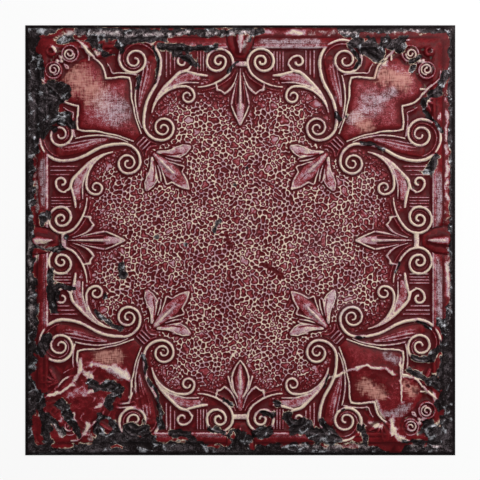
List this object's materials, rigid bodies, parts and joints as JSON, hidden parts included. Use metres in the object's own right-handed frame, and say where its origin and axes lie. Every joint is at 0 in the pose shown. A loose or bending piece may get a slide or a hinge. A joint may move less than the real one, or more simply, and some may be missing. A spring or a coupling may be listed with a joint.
{
  "type": "pressed tin ceiling tile",
  "caption": "Square pressed tin ceiling tile with framed shields at its corners, scrollwork, lily motifs and a moulded border, in worn paint.",
  "frame": {"origin": "middle of the tile's back, on the plane of the flat rim", "axes": "+Z out of the decorated face, +Y towards the tile's top edge as it is looked at, +X to the right"},
  "size_m": [0.61, 0.61, 0.0097],
  "materials": {
    "worn_paint": "old deep red oil paint, worn to cream undercoat on the raised work and chipped to dark bare steel near the edges; satin to matt"
  },
  "bodies": {
    "root": {"pressed_sheet": "worn_paint"}
  },
  "joints": []
}
